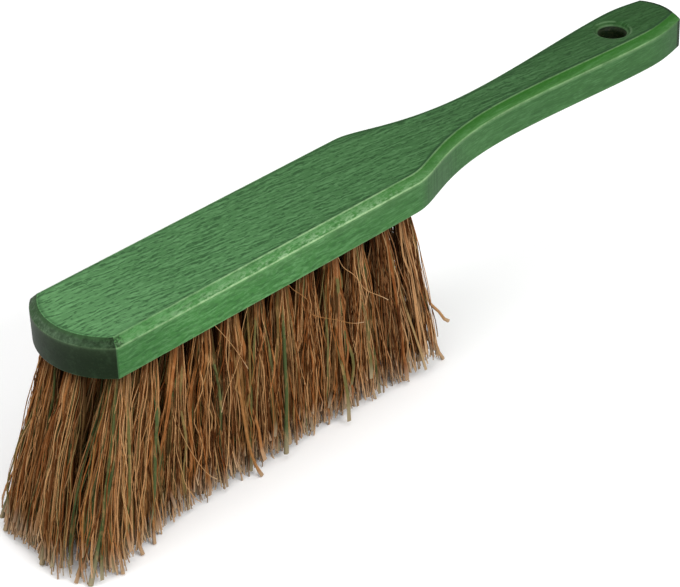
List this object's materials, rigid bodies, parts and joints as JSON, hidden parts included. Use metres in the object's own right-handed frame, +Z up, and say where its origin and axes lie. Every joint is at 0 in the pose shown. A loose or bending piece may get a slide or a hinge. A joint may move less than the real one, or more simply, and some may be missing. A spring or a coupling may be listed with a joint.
{
  "type": "hand brush",
  "caption": "Hand brush with a flat green-stained hardwood stock, a waisted handle with a hang hole, and drilled tufts of coarse natural fibre that flare at the front.",
  "frame": {"origin": "centre of the bounding box, on the plane of the bristle tips that the brush stands on", "axes": "+X along the brush from the nose to the handle's tail, +Z up from the bristle tips to the board, +Y to the right of someone who holds the handle"},
  "size_m": [0.3656, 0.0611, 0.088],
  "materials": {
    "beech": "green stain under a thin satin lacquer, worn paler along the edges",
    "fibre": "matt brown plant fibre with some fibres dyed green"
  },
  "bodies": {
    "root": {"stock": "beech", "tuft_left_outer_01": "fibre", "tuft_left_outer_02": "fibre", "tuft_left_outer_03": "fibre", "tuft_left_outer_04": "fibre", "tuft_left_outer_05": "fibre", "tuft_left_outer_06": "fibre", "tuft_left_outer_07": "fibre", "tuft_left_outer_08": "fibre", "tuft_left_outer_09": "fibre", "tuft_left_outer_10": "fibre", "tuft_left_outer_11": "fibre", "tuft_left_outer_12": "fibre", "tuft_left_inner_01": "fibre", "tuft_left_inner_02": "fibre", "tuft_left_inner_03": "fibre", "tuft_left_inner_04": "fibre", "tuft_left_inner_05": "fibre", "tuft_left_inner_06": "fibre", "tuft_left_inner_07": "fibre", "tuft_left_inner_08": "fibre", "tuft_left_inner_09": "fibre", "tuft_left_inner_10": "fibre", "tuft_left_inner_11": "fibre", "tuft_left_inner_12": "fibre", "tuft_left_inner_13": "fibre", "tuft_right_inner_01": "fibre", "tuft_right_inner_02": "fibre", "tuft_right_inner_03": "fibre", "tuft_right_inner_04": "fibre", "tuft_right_inner_05": "fibre", "tuft_right_inner_06": "fibre", "tuft_right_inner_07": "fibre", "tuft_right_inner_08": "fibre", "tuft_right_inner_09": "fibre", "tuft_right_inner_10": "fibre", "tuft_right_inner_11": "fibre", "tuft_right_inner_12": "fibre", "tuft_right_inner_13": "fibre", "tuft_right_outer_01": "fibre", "tuft_right_outer_02": "fibre", "tuft_right_outer_03": "fibre", "tuft_right_outer_04": "fibre", "tuft_right_outer_05": "fibre", "tuft_right_outer_06": "fibre", "tuft_right_outer_07": "fibre", "tuft_right_outer_08": "fibre", "tuft_right_outer_09": "fibre", "tuft_right_outer_10": "fibre", "tuft_right_outer_11": "fibre", "tuft_right_outer_12": "fibre"}
  },
  "joints": []
}
